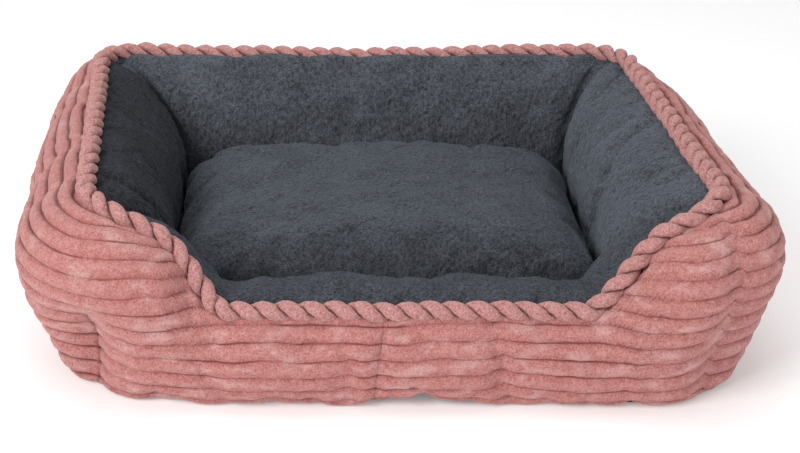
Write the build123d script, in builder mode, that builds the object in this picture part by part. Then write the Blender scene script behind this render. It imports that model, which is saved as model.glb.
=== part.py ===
"""A rectangular pet bed: four stuffed bolsters round a loose cushion, with a low entry in the front one.

Millimetres. +Z is up, the entry faces -Y, and the origin is the middle of the footprint on the floor.
A bolster's section is drawn as (u, z): u is the distance outwards from the rim seam, under the rope trim.
"""

from build123d import *

import os
from math import atan2, cos, hypot, radians, sin, sqrt, tan

# Driving dimensions: the rim
RIM_LENGTH = 610.0  # rim seam to rim seam along X
RIM_DEPTH = 430.0  # rim seam to rim seam along Y
RIM_CORNER = 40.0  # the seam's radius at the four corners, in plan
STRAND = 9.2  # one strand of the rope trim
ENTRY_FOOT = 172.0  # from the middle to where the rim starts to rise out of the entry
ENTRY_TOP = 244.0  # from the middle to where it has risen to full height
ENTRY_BENDS = (60.0, 26.0)  # the rim's radii at those two places

# Cloth
PLUSH = 4.0  # corduroy or plush with its pile
BASE_CLOTH = 2.5  # woven cloth under the bed
SEAM_GAP = 0.3  # between pieces that are sewn or pressed together
ROPE_GAP = 0.8  # between the rope and the rim seam
FRONT_SEAM_X = -16.0  # the join in the front corduroy, left of the middle

# Bolster sections, from the rim seam to the floor: outside and inside, at full height and at the entry.
# Each starts level, as far as its second point.
HIGH_OUT = [(0, 180), (12, 180), (30, 176), (50, 164), (63, 143), (67, 114), (61, 65), (48, 24), (36, 2.8)]
HIGH_IN = [
    (0, 180), (-12, 180), (-28, 174), (-48, 160), (-66, 135), (-77, 104), (-80, 72), (-74, 36), (-64, 2.8),
]
LOW_OUT = [(36, 88), (40, 88), (45, 86), (51, 80), (56, 68), (58, 52), (56, 34), (50, 16), (43, 2.8)]
LOW_IN = [(36, 88), (32, 88), (22, 95), (6, 103), (-14, 106), (-42, 98), (-70, 74), (-77, 38), (-64, 2.8)]
MITRE_SQUEEZE = 0.742  # how much less the front and back bolsters reach inwards than the side ones

# The nest's floor and the cushion
WADDING = 6.6
FLOOR_LINING = 3.0
FLOOR_CORNER = 20.0
FLOOR_ROOM = 7.0  # between the nest's floor and the feet of the bolsters
LIFT_ROOM = 4.0  # free width on each side of the cushion where the bolsters are fattest
CUSHION_HEIGHT = 92.0
CUSHION_CORNER = 70.0
CUSHION_SEAM = 0.45  # height of the seam between the cushion's two covers, as a share of its height
# Cushion outline away from that seam: (share of the half's height, distance in from the widest outline)
CUSHION_UP = [(0.0, 0), (0.4, 1), (0.68, 8), (0.88, 28), (1.0, 74)]
CUSHION_DOWN = [(0.0, 0), (0.45, 3), (0.78, 13), (1.0, 34)]

# Worked out from the dimensions above
HALF_X = RIM_LENGTH / 2
HALF_Y = RIM_DEPTH / 2
FOOT_Z = BASE_CLOTH + SEAM_GAP
CORNER_SAG = RIM_CORNER * (1 - 1 / sqrt(2))  # the rounded rim's distance in from its corner, along X or Y
STRAND_OFFSETS = (ROPE_GAP + STRAND / 2, ROPE_GAP + STRAND * 3 / 2 + SEAM_GAP)
CUSHION_Z = FOOT_Z + WADDING + FLOOR_LINING + 3 * SEAM_GAP
TALL = 400.0  # taller than anything in the bed
CORNER_TURN = 44.8  # degrees of each corner that one outside panel wraps
BEND_STEPS = 5  # sections in each bend of the rim


def reach_in(u, squeeze):
    """Shortens a section's inward reach beyond the rounded rim's own corner."""
    if u > -CORNER_SAG:
        return u
    return -CORNER_SAG + (u + CORNER_SAG) * squeeze


CUSHION_HALF_X = HALF_X + min(u for u, z in HIGH_IN) - LIFT_ROOM
CUSHION_HALF_Y = HALF_Y + min(reach_in(u, MITRE_SQUEEZE) for u, z in HIGH_IN) - LIFT_ROOM


def section(high, low, share, squeeze):
    """A section a share of the way from the entry's to the full one."""
    mixed = [(a + (c - a) * share, b + (d - b) * share) for (a, b), (c, d) in zip(low, high)]
    return [(reach_in(u, squeeze), z) for u, z in mixed]


def inset(points, depth, side):
    """A section moved into the stuffing, square to its curve. side is 1 outside the rim seam, -1 inside."""
    moved = []
    last = len(points) - 1
    for i, (u, z) in enumerate(points):
        before, after = points[max(i - 1, 0)], points[min(i + 1, last)]
        du, dz = after[0] - before[0], after[1] - before[1]
        if i < 2:
            du, dz = side, 0.0
        length = hypot(du, dz)
        moved.append((u + side * dz / length * depth, z - side * du / length * depth))
    (u, z), (foot_u, foot_z) = moved[-2:]
    moved[-1] = (foot_u + (u - foot_u) * (FOOT_Z - foot_z) / (z - foot_z), FOOT_Z)
    return moved


def curve(points, side, level):
    """A section's curve: from a level stretch where level is true, and otherwise smooth from its first point."""
    if level:
        foot = (points[-1][0] - points[-2][0], points[-1][1] - points[-2][1])
        Line(points[0], points[1])
        Spline(*points[1:], tangents=((side, 0), foot))
    else:
        Spline(*points)


def skin_outline(points, side, level=True):
    """The cloth's section: PLUSH thick, ending half a seam gap from the rim seam."""
    under = inset(points, PLUSH, side)
    edge = side * SEAM_GAP / 2
    points = [(points[0][0] + edge, points[0][1])] + points[1:]
    under = [(under[0][0] + edge, under[0][1])] + under[1:]
    with BuildLine() as outline:
        curve(points, side, level)
        Line(points[-1], under[-1])
        curve(under, side, level)
        Line(under[0], points[0])
    return outline.line


def fill_outline(points, side, level=True):
    """Half of the stuffing's section, between the cloth and the upright plane through the rim seam."""
    under = inset(points, PLUSH + SEAM_GAP, side)
    foot = (under[0][0], FOOT_Z)
    with BuildLine() as outline:
        curve(under, side, level)
        Line(under[-1], foot)
        Line(foot, under[0])
    return outline.line


def whole_outline(out_points, in_points, level=True):
    """The stuffing's whole section."""
    outer = inset(out_points, PLUSH + SEAM_GAP, 1)
    inner = inset(in_points, PLUSH + SEAM_GAP, -1)
    with BuildLine() as outline:
        curve(outer, 1, level)
        Line(outer[-1], inner[-1])
        curve(inner, -1, level)
    return outline.line


class Bolster:
    """One side of the bed, by the way it faces."""

    def __init__(self, facing, half_length, rim, squeeze):
        self.facing = Vector(*facing, 0)
        self.along = Vector(0, 0, 1).cross(self.facing)
        self.half_length = half_length
        self.rim = rim
        self.squeeze = squeeze
        self.straight = half_length - RIM_CORNER
        self.level = facing != (0, -1)  # the front's sections are lofted, so each is one curve

    def plane(self, at):
        """Where the section stands at a distance along the bolster."""
        seat = self.facing * self.rim + self.along * at
        return Plane(origin=seat, x_dir=self.facing, z_dir=self.along * -1)

    def corner_axis(self, end):
        centre = self.facing * (self.rim - RIM_CORNER) + self.along * (end * self.straight)
        return Axis(centre, (0, 0, 1))

    def mitred(self):
        """The bolster's share of the plan inside the rim, up to the creases at its two inner corners."""
        turn = radians(CORNER_TURN)
        across, up = RIM_CORNER * sin(turn), RIM_CORNER * cos(turn)
        rim_end = (self.straight + across, self.rim - RIM_CORNER + up)
        beyond = (rim_end[0] + across, rim_end[1] + up)
        lean = MITRE_SQUEEZE if self.squeeze == 1.0 else 1 / MITRE_SQUEEZE
        depth = min(rim_end[1], 0.98 * rim_end[0] / lean)
        inner_end = (rim_end[0] - depth * lean, rim_end[1] - depth)
        floor = Plane(origin=(0, 0, -1), x_dir=self.along, z_dir=(0, 0, 1))
        way = 1 if (floor.y_dir - self.facing).length < 1 else -1
        corners = [(x, way * y) for x, y in (beyond, rim_end, inner_end)]
        with BuildPart() as share:
            with BuildSketch(floor):
                with BuildLine():
                    Polyline(*corners, *[(-x, y) for x, y in corners[::-1]], close=True)
                make_face()
                RectangleRounded(2 * self.half_length, 2 * self.rim, RIM_CORNER, mode=Mode.INTERSECT)
                with Locations((0, way * (self.rim + RIM_CORNER))):
                    Rectangle(2 * self.straight, 2 * RIM_CORNER + SEAM_GAP)
            extrude(amount=TALL)
        return share.part


BACK = Bolster((0, 1), HALF_X, HALF_Y, MITRE_SQUEEZE)
LEFT = Bolster((-1, 0), HALF_Y, HALF_X, 1.0)
RIGHT = Bolster((1, 0), HALF_Y, HALF_X, 1.0)
FRONT = Bolster((0, -1), HALF_X, HALF_Y, MITRE_SQUEEZE)


def rim_path(offset):
    """The rim's closed line, offset square to the rim seam: level, but for the way into the entry and out."""
    seat, (dip_u, dip_z) = HIGH_OUT[0][1], LOW_OUT[0]
    shift = offset * tan(atan2(seat - dip_z, ENTRY_TOP - ENTRY_FOOT) / 2)
    foot = (ENTRY_FOOT - shift, -HALF_Y - dip_u, dip_z + offset)
    top = (ENTRY_TOP - shift, -HALF_Y, seat + offset)
    right = [foot, top, (HALF_X, -HALF_Y, seat + offset), (HALF_X, HALF_Y, seat + offset)]
    left = [(-x, y, z) for x, y, z in right[::-1]]
    bends = [ENTRY_BENDS[0] - offset, ENTRY_BENDS[1] + offset, RIM_CORNER, RIM_CORNER]
    with BuildLine() as path:
        FilletPolyline(*right, *left, radius=bends + bends[::-1], close=True)
    return path.wire()


def front_stations():
    """Where the front bolster's section is drawn: (distance along it, share of full height)."""
    seat, dip_z = HIGH_OUT[0][1], LOW_OUT[0][1]
    front = rim_path(0).edges().filter_by(lambda edge: (edge @ 0.5).Y < -HALF_Y + SEAM_GAP)
    bends = front.filter_by(GeomType.CIRCLE)
    right = [bend @ (i / BEND_STEPS) for bend in bends for i in range(BEND_STEPS + 1)]
    right = sorted((point for point in right if point.X > 0), key=lambda point: point.X)
    stations = [(point.X, (point.Z - dip_z) / (seat - dip_z)) for point in right]
    stations.append((HALF_X - RIM_CORNER, 1.0))
    return [(-x, share) for x, share in stations[::-1]] + stations


def carried(bolster, face, start, stop):
    """A section carried along the bolster from one distance from its middle to another."""
    between = front_stations() if bolster is FRONT else []
    between = [(at, share) for at, share in between if start < at < stop]
    level = [0.0 if bolster is FRONT and abs(at) < ENTRY_FOOT else 1.0 for at in (start, stop)]
    with BuildPart() as run:
        with BuildSketch(bolster.plane(stop)):
            make_face(face(level[1]))
        if between:
            for at, share in between[::-1] + [(start, level[0])]:
                with BuildSketch(bolster.plane(at)):
                    make_face(face(share))
            loft(ruled=True)
        else:
            extrude(amount=stop - start)
    return run.part


def turned(bolster, outline, end):
    """The outside half of a section turned round the bolster's share of one corner."""
    with BuildPart() as corner:
        with BuildSketch(bolster.plane(end * bolster.straight)):
            make_face(outline(HIGH_OUT, 1, bolster.level))
        revolve(axis=bolster.corner_axis(end), revolution_arc=end * CORNER_TURN)
    return corner.part


def outer_panel(bolster, start, stop, label):
    """The corduroy outside the rim seam, with the corners that its stretch reaches."""
    def cloth(share):
        return skin_outline(section(HIGH_OUT, LOW_OUT, share, 1.0), 1, bolster.level)

    pieces = [carried(bolster, cloth, start, stop)]
    for end in (-1, 1):
        if end * bolster.straight in (start, stop):
            pieces.append(turned(bolster, skin_outline, end))
    with BuildPart() as panel:
        add(pieces)
    save(panel.part, label)


def lining(bolster, label):
    """The plush inside the rim seam, cut at the creases."""
    def plush(share):
        return skin_outline(section(HIGH_IN, LOW_IN, share, bolster.squeeze), -1, bolster.level)

    runs = carried(bolster, plush, -bolster.half_length, bolster.half_length)
    share_of_plan = bolster.mitred()
    with BuildPart() as cloth:
        add(runs)
        add(share_of_plan, mode=Mode.INTERSECT)
    save(cloth.part, label)


def fill(bolster, label):
    """A bolster's stuffing: its straight run, the inside of its two corners and the outside of them."""
    def inner_section(share):
        return section(HIGH_IN, LOW_IN, share, bolster.squeeze)

    def whole(share):
        return whole_outline(section(HIGH_OUT, LOW_OUT, share, 1.0), inner_section(share), bolster.level)

    def inner(share):
        return fill_outline(inner_section(share), -1, bolster.level)

    ends = ((-bolster.half_length, -bolster.straight), (bolster.straight, bolster.half_length))
    runs = [carried(bolster, whole, -bolster.straight, bolster.straight)]
    runs += [carried(bolster, inner, start, stop) for start, stop in ends]
    share_of_plan = bolster.mitred()
    corners = [turned(bolster, fill_outline, end) for end in (-1, 1)]
    with BuildPart() as stuffing:
        add(runs)
        add(share_of_plan, mode=Mode.INTERSECT)
        add(corners)
    save(stuffing.part, label)


def save(part, label):
    part.label = label
    export_step(part, "parts/" + label + ".step")


def strand(offset, label):
    """One strand of the rope trim, offset square to the rim seam."""
    path = rim_path(offset)
    with BuildPart() as cord:
        with BuildSketch(Plane(origin=path @ 0, z_dir=path % 0)):
            Circle(STRAND / 2)
        sweep(path=path)
    save(cord.part, label)


def slab(half_x, half_y, corner, bottom, thickness, label):
    """A flat sheet with rounded corners."""
    with BuildPart() as sheet:
        with BuildSketch(Plane.XY.offset(bottom)):
            RectangleRounded(2 * half_x, 2 * half_y, corner)
        extrude(amount=thickness)
    save(sheet.part, label)


def crowned(steps, height, shrink, side):
    """Half of the cushion's shape, from its seam to its top or its underside, shrunk in plan."""
    seam = CUSHION_Z + CUSHION_HEIGHT * CUSHION_SEAM + side * SEAM_GAP / 2
    with BuildPart() as half:
        for share, step_in in steps:
            half_x = CUSHION_HALF_X - shrink - step_in
            half_y = CUSHION_HALF_Y - shrink - step_in
            with BuildSketch(Plane.XY.offset(seam + side * height * share)):
                RectangleRounded(2 * half_x, 2 * half_y, CUSHION_CORNER - shrink - step_in / 2)
        loft()
    return half.part


def cushion_half(steps, height, side, label):
    """Half of the cushion's cover: side is 1 above its seam and -1 below. Returns the stuffing in it."""
    outer = crowned(steps, height, 0, side)
    hollow = crowned(steps, height - PLUSH, PLUSH, side)
    with BuildPart() as cover:
        add(outer)
        add(hollow, mode=Mode.SUBTRACT)
    save(cover.part, label)
    return crowned(steps, height - PLUSH - SEAM_GAP, PLUSH + SEAM_GAP, side)


os.makedirs("parts", exist_ok=True)

for bolster, name in ((BACK, "back"), (LEFT, "left"), (RIGHT, "right")):
    outer_panel(bolster, -bolster.straight, bolster.straight, "outer_panel_" + name)
half_gap = SEAM_GAP / 2
front_end = FRONT.straight
outer_panel(FRONT, -front_end, FRONT_SEAM_X - half_gap, "outer_panel_front_left")
outer_panel(FRONT, FRONT_SEAM_X + half_gap, front_end, "outer_panel_front_right")

for bolster, name in ((BACK, "back"), (LEFT, "left"), (RIGHT, "right"), (FRONT, "front")):
    lining(bolster, "lining_" + name)
    fill(bolster, "fill_" + name)

strand(STRAND_OFFSETS[0], "rope_strand_a")
strand(STRAND_OFFSETS[1], "rope_strand_b")

slab(HALF_X + HIGH_OUT[-1][0], HALF_Y + LOW_OUT[-1][0], 80.0, 0.0, BASE_CLOTH, "base_panel")
floor_x = HALF_X + HIGH_IN[-1][0] - FLOOR_ROOM
floor_y = HALF_Y + reach_in(HIGH_IN[-1][0], MITRE_SQUEEZE) - FLOOR_ROOM
slab(floor_x, floor_y, FLOOR_CORNER, FOOT_Z, WADDING, "base_wadding")
slab(floor_x, floor_y, FLOOR_CORNER, FOOT_Z + WADDING + SEAM_GAP, FLOOR_LINING, "floor_lining")

below = CUSHION_HEIGHT * CUSHION_SEAM
halves = [
    cushion_half(CUSHION_UP, CUSHION_HEIGHT - below, 1, "cushion_top"),
    cushion_half(CUSHION_DOWN, below, -1, "cushion_bottom"),
]
middle = CUSHION_Z + below
inner = PLUSH + SEAM_GAP
with BuildPart() as cushion_fill:
    add(halves)
    with BuildSketch(Plane.XY.offset(middle - SEAM_GAP / 2)):
        RectangleRounded(2 * (CUSHION_HALF_X - inner), 2 * (CUSHION_HALF_Y - inner), CUSHION_CORNER - inner)
    extrude(amount=SEAM_GAP)
save(cushion_fill.part, "cushion_fill")
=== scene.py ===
"""A rectangular pet bed in wide-wale corduroy and plush, with a low entry, a rope trim and a loose cushion.

Metres. The bolsters follow a rim line that runs round the bed, and each bolster's section is drawn as (u, z),
where u is the distance outwards from that line. The cloth is then settled by simulation between its seams.
"""
from math import ceil, cos, pi, radians, sin

import bmesh
import bpy
import numpy as np
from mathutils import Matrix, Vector


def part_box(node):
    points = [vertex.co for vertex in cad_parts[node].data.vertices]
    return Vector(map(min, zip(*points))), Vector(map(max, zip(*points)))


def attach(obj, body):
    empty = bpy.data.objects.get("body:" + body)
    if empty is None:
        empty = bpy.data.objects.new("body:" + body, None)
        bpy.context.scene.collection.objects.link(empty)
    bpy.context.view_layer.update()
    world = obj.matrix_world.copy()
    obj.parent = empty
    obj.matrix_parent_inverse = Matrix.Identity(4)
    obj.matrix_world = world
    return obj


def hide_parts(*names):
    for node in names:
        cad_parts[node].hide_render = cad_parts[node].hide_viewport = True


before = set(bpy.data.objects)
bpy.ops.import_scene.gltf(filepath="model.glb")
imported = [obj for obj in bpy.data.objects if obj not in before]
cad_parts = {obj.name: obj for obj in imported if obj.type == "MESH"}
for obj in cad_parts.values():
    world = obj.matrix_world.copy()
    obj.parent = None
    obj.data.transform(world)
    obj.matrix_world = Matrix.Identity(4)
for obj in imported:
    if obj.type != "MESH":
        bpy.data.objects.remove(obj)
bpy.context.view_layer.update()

bl_info = {
    "name": "Pet bed with a rope trim",
    "version": (1, 0, 0),
    "blender": (4, 5, 0),
    "location": "3D View > Sidebar > Pet bed",
    "description": "Builds a bolster pet bed round its frame, with its cloth, trim, cushion and stage",
    "category": "Object",
}

MM = 0.001

# The rim line, from the frame
RIM_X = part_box("lining_right")[1][0]
RIM_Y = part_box("lining_back")[1][1]
RIM_CORNER = 50 * MM
RIM_SAG = RIM_CORNER * (1 - 1 / 2**0.5)
SEAM_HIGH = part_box("lining_back")[1][2]
SEAM_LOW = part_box("rope_strand_a")[0][2]
FLOOR_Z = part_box("floor_lining")[1][2]
HEM_Z = 3.2 * MM
HEM_BAND = 0.028  # the height of the wavy band over the hem

# The entry: half its width at the bottom, where its gentle slope starts, how far its steep and its gentle
# slope reach, how much further it reaches on the right, and how far the rim bows outwards there
ENTRY_HALF = 0.162
GENTLE_START = 0.165
STEEP_REACH, GENTLE_REACH = 0.075, 0.14
ENTRY_SHIFT = 17 * MM
DIP = 36 * MM

# Sections in millimetres from the rim seam: outside to the hem and inside to the nest's floor
OUT_HIGH = ((0, 180), (7, 187), (22, 187), (41, 177), (57, 158), (65, 134),
            (65, 108), (59, 72), (52, 38), (46, 15), (42, 5), (31, 1.5))
OUT_LOW = ((36, 90), (40, 94), (47, 91), (53, 83), (57, 72), (59, 58),
           (58, 44), (56, 30), (53, 17), (50, 8), (46, 3), (36, 1.5))
IN_HIGH = ((0, 180), (-7, 186), (-20, 184), (-37, 173), (-54, 154),
           (-68, 128), (-76, 100), (-78, 70), (-74, 38), (-66, 13))
IN_LOW = ((36, 90), (31, 98), (20, 107), (4, 111), (-13, 109),
          (-32, 101), (-50, 86), (-64, 64), (-71, 38), (-63, 13))
MITRE_SQUEEZE = 0.742  # how much less the front and back bolsters reach inwards than the side ones
LEAN = -0.091  # the rim's sideways shift for each metre of depth, from sitting a little skewed

CLOTH = 3.2 * MM
CREASE_TUCK = 10 * MM  # how far each lining runs on past the crease at its ends
CORE_GAP = 11 * MM  # from the cloth's face to the stuffing
BASE_LAP = 1.5 * MM  # how far the base cloth reaches past the turned-under end of the corduroy
TUCK_AT = 33 * MM  # how far right of the middle of the front the hem is tucked up
SEAM_TOP = 0.12  # from this height down the corner seams pull in more
BACK_SLACK = 22 * MM  # how much less the back corners are stuffed than the front ones
LEFT_TAPER = 30 * MM  # how far the left front corner draws in at the floor
CUSHION_CORNER = 46 * MM  # the radius of its corners in plan
CUSHION_CROWN = 8 * MM  # from the cushion's CAD height to the height that its crown is drawn to
SETTLE_FRAMES = 16

# Mesh steps, counted: rows run down a section and columns round the bed
CORDUROY_ROWS = 150
LINING_ROWS = 104
COARSE_ROWS = 24
ROPE_COLUMNS, ROPE_AROUND = 2000, 24

# How far the cloth may move while it settles, and how much larger it is cut than what it covers
CORDUROY_CAP = 7 * MM
LINING_CAP = 6 * MM
CUSHION_TOP_CAP, CUSHION_BOTTOM_CAP = 7 * MM, 1.5 * MM
PLUSH_SPARE = 0.03

# The camera's place, and how far it looks down from level
CAMERA_AT = (-0.0554, -1.5323, 0.8223)
CAMERA_DOWN = radians(26.32)


# Shapes

def smoothstep(x):
    x = np.clip(x, 0.0, 1.0)
    return x * x * (3 - 2 * x)


def hump(x, width):
    """A bell of height 1."""
    return np.exp(-((x / width) ** 2))


def waves(x, period, seed):
    """A smooth, repeatable wander between about -1 and 1 along x."""
    total = 0.0
    for i, (ratio, share) in enumerate(((1.0, 0.5), (1.73, 0.3), (3.1, 0.2))):
        total = total + share * np.sin(2 * pi * x * ratio / period + seed * (2.4 + i) + i * 1.3)
    return total


def wander(x, y, period, seed):
    """The same over a surface."""
    slow = waves(x + 0.4 * y, period, seed) + waves(0.5 * x - y, period * 1.2, seed + 1.7)
    return 0.5 * (slow + waves(x * 0.8 + y * 1.1 + 0.3 * period * slow, period * 0.8, seed + 3.1))


def rim_lengths():
    """The rim's legs, from the middle of the front going towards +X: (is it an arc, its length)."""
    hx, hy, arc = RIM_X - RIM_CORNER, RIM_Y - RIM_CORNER, RIM_CORNER * pi / 2
    return ((0, hx), (1, arc), (0, 2 * hy), (1, arc), (0, 2 * hx),
            (1, arc), (0, 2 * hy), (1, arc), (0, hx))


RIM_LENGTH = sum(length for arc, length in rim_lengths())


def rim_line(s):
    """Points on the rim in plan and the ways that they face, at distances s."""
    s = np.mod(np.asarray(s, float), RIM_LENGTH)
    place, facing = np.zeros((len(s), 2)), np.zeros((len(s), 2))
    start, at, angle = 0.0, np.array([0.0, -RIM_Y]), -pi / 2
    for arc, length in rim_lengths():
        here = (s >= start) & (s <= start + length)
        along = s[here] - start
        out = np.array([cos(angle), sin(angle)])
        if arc:
            centre = at - out * RIM_CORNER
            turn = angle + along / RIM_CORNER
            facing[here] = np.stack([np.cos(turn), np.sin(turn)], 1)
            place[here] = centre + facing[here] * RIM_CORNER
            angle += pi / 2
            at = centre + np.array([cos(angle), sin(angle)]) * RIM_CORNER
        else:
            way = np.array([-out[1], out[0]])
            place[here] = at + along[:, None] * way
            facing[here] = out
            at = at + way * length
        start += length
    return place, facing


def rise(x):
    """How far the front of the rim has risen out of the entry, which reaches further to the right."""
    shift = np.where(x > 0, ENTRY_SHIFT, 0.0)
    x = np.abs(x)
    steep = smoothstep((x - ENTRY_HALF - shift) / STEEP_REACH)
    gentle = smoothstep((x - GENTLE_START - shift) / (GENTLE_REACH - shift))
    return 0.5 * steep + 0.5 * gentle


def rim_share(place):
    """The rim's share of full height at points in plan."""
    return np.where(place[:, 1] < 0, rise(place[:, 0]), 1.0)


def rim_droop(place):
    """The rim's own slight sag along the back and its peaks at the corners."""
    back = smoothstep((place[:, 1] + 0.1) / 0.3)
    middle = np.cos(np.clip(place[:, 0] / RIM_X, -1, 1) * pi / 2)
    return back * (-8 * MM * middle + 2 * MM) + 1.5 * MM * waves(place[:, 0] + place[:, 1], 0.23, 2.0)


def leaned(points):
    """The bed's slight skew, which grows with height."""
    height = np.clip(points[..., 2] / 0.19, 0, 1) ** 1.4
    points[..., 0] += LEAN * points[..., 1] * height
    return points


def spline(knots, t):
    """A Catmull-Rom curve through knots, whose first axis is the knots, at t from 0 to 1."""
    spans = len(knots) - 1
    knots = np.concatenate([2 * knots[:1] - knots[1:2], knots, 2 * knots[-1:] - knots[-2:-1]])
    i = np.minimum((t * spans).astype(int), spans - 1)
    f = (t * spans - i).reshape((-1,) + (1,) * (knots.ndim - 1))
    a, b, c, d = knots[i], knots[i + 1], knots[i + 2], knots[i + 3]
    return b + 0.5 * f * (c - a + f * (2 * a - 5 * b + 4 * c - d + f * (3 * (b - c) + d - a)))


def sections(low, high, share, rows):
    """The section at each column, spaced evenly along its length: (u, z), and how far each point is from the
    section's lower end."""
    low, high = np.array(low) * MM, np.array(high) * MM
    knots = low[:, None] + (high - low)[:, None] * share[None, :, None]
    dense = spline(knots, np.linspace(0, 1, 12 * len(low)))
    steps = np.linalg.norm(np.diff(dense, axis=0), axis=2)
    length = np.concatenate([np.zeros((1, len(share))), np.cumsum(steps, 0)])
    even = np.empty((rows, len(share), 2))
    for j in range(len(share)):
        want = np.linspace(0, length[-1, j], rows)
        for k in (0, 1):
            even[:, j, k] = np.interp(want, length[:, j], dense[:, j, k])
    left = length[-1][None] * np.linspace(1, 0, rows)[:, None]
    return even, left


def seam_places():
    """The outside seams, as distances round the rim."""
    hx, hy, arc = RIM_X - RIM_CORNER, RIM_Y - RIM_CORNER, RIM_CORNER * pi / 2
    right_front = hx + 0.37 * arc
    right_back = hx + arc + 2 * hy + 0.5 * arc
    left_back = right_back + arc + 2 * hx
    left_front = RIM_LENGTH - hx - 0.28 * arc
    return {"front": -13 * MM, "right_front": right_front, "right_back": right_back,
            "left_back": left_back, "left_front": left_front}


# How each outside seam pulls in: depth, width and how low down it is strongest
SEAM_PULL = {"front": (1.2, 8, 0.0), "right_front": (9, 9, 0.2), "right_back": (6, 11, 0.3),
             "left_back": (6, 11, 0.3), "left_front": (17, 12, 0.97)}


def seam_strength(name, z):
    """How much of its full pull a seam has at height z."""
    low = SEAM_PULL[name][2]
    return (1 - low) + low * smoothstep((SEAM_TOP - z) / 0.05)


def ring_gap(s, at):
    """Signed distance round the rim from a place on it."""
    return np.mod(s - at + RIM_LENGTH / 2, RIM_LENGTH) - RIM_LENGTH / 2


def outside(s, rows):
    """The corduroy's face at distances s round the rim, as rows from the rim seam to the hem, and how far
    each point is from the hem."""
    place, facing = rim_line(s)
    share = rim_share(place)
    even, left = sections(OUT_LOW, OUT_HIGH, share, rows)
    u, z = even[..., 0], even[..., 1]
    t = np.linspace(0, 1, rows)[:, None]
    body = np.sin(pi * t) ** 0.5
    u = u + 9 * MM * (facing[:, 1] ** 2)[None] * smoothstep((0.06 - z) / 0.06) * share[None]
    px, py = place[:, 0][None], place[:, 1][None]
    ring_way = px + 1.3 * py
    u = u + 2.8 * MM * body * wander(px + 0.5 * z, py - 0.7 * z, 0.17, 4.0)
    from_rim = left[:1] - left
    pucker = np.exp(-from_rim / 0.05) * np.clip(from_rim / 0.012, 0, 1)
    u = u + 1.6 * MM * pucker * waves(ring_way + 0.3 * from_rim, 0.13, 1.0)
    corner = hump(np.abs(px) - RIM_X, 60 * MM) * hump(py - RIM_Y, 95 * MM)
    u = u - BACK_SLACK * corner * body
    corner = hump(ring_gap(s, RIM_LENGTH - RIM_X), 85 * MM)[None]
    u = u - LEFT_TAPER * corner * smoothstep((0.14 - z) / 0.11)
    for name, at in seam_places().items():
        depth, width = SEAM_PULL[name][:2]
        gap = ring_gap(s, at)[None]
        strength = seam_strength(name, z)
        u = u - depth * MM * hump(gap, width * MM) * strength * body
        beside = hump(np.abs(gap) - 2.6 * width * MM, 1.5 * width * MM)
        u = u + 0.35 * depth * MM * beside * strength * body
    # the bulges on both sides of the left front seam
    gap = ring_gap(s, seam_places()["left_front"])[None]
    for side in (-38 * MM, 36 * MM):
        u = u + 4 * MM * hump(gap - side, 26 * MM) * smoothstep((SEAM_TOP - z) / 0.06) * body
    # the hem waves, with a tuck right of the middle
    hem = smoothstep((HEM_BAND - z) / HEM_BAND)
    tuck = hump(ring_gap(s, TUCK_AT), 9 * MM)[None]
    z = z + hem * (sole_lift(px, py) + 2.0 * MM * tuck)
    u = u + hem * (2.4 * MM * waves(ring_way, 0.12, 5.0) - 4 * MM * tuck)
    z = z + (1 - t) * rim_droop(place)[None]
    points = np.empty(z.shape + (3,))
    points[..., :2] = place[None] + facing[None] * u[..., None]
    points[..., 2] = z
    return leaned(points), left


def sole_lift(x, y):
    """How far the hem stands off the floor: in slow waves, and most at a tuck right of the front's middle."""
    front = smoothstep((-y - 0.15) / 0.08)
    slow = 0.8 * (1 + waves(x + 1.3 * y, 0.19, 1.0))
    return MM * (slow + front * 6.0 * hump(x - TUCK_AT, 52 * MM))


def round_corners(x, y, half_x, half_y, corner):
    """Draws the corners of a flat grid in, so that it becomes a rounded rectangle."""
    over_x = np.clip(np.abs(x) - (half_x - corner), 0, corner) / corner
    over_y = np.clip(np.abs(y) - (half_y - corner), 0, corner) / corner
    x_in, y_in = np.minimum(np.abs(x), half_x - corner), np.minimum(np.abs(y), half_y - corner)
    return (np.sign(x) * (x_in + corner * over_x * np.sqrt(1 - over_y**2 / 2)),
            np.sign(y) * (y_in + corner * over_y * np.sqrt(1 - over_x**2 / 2)))


WALLS = {"front": (0, -1), "right": (1, 0), "back": (0, 1), "left": (-1, 0)}


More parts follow.
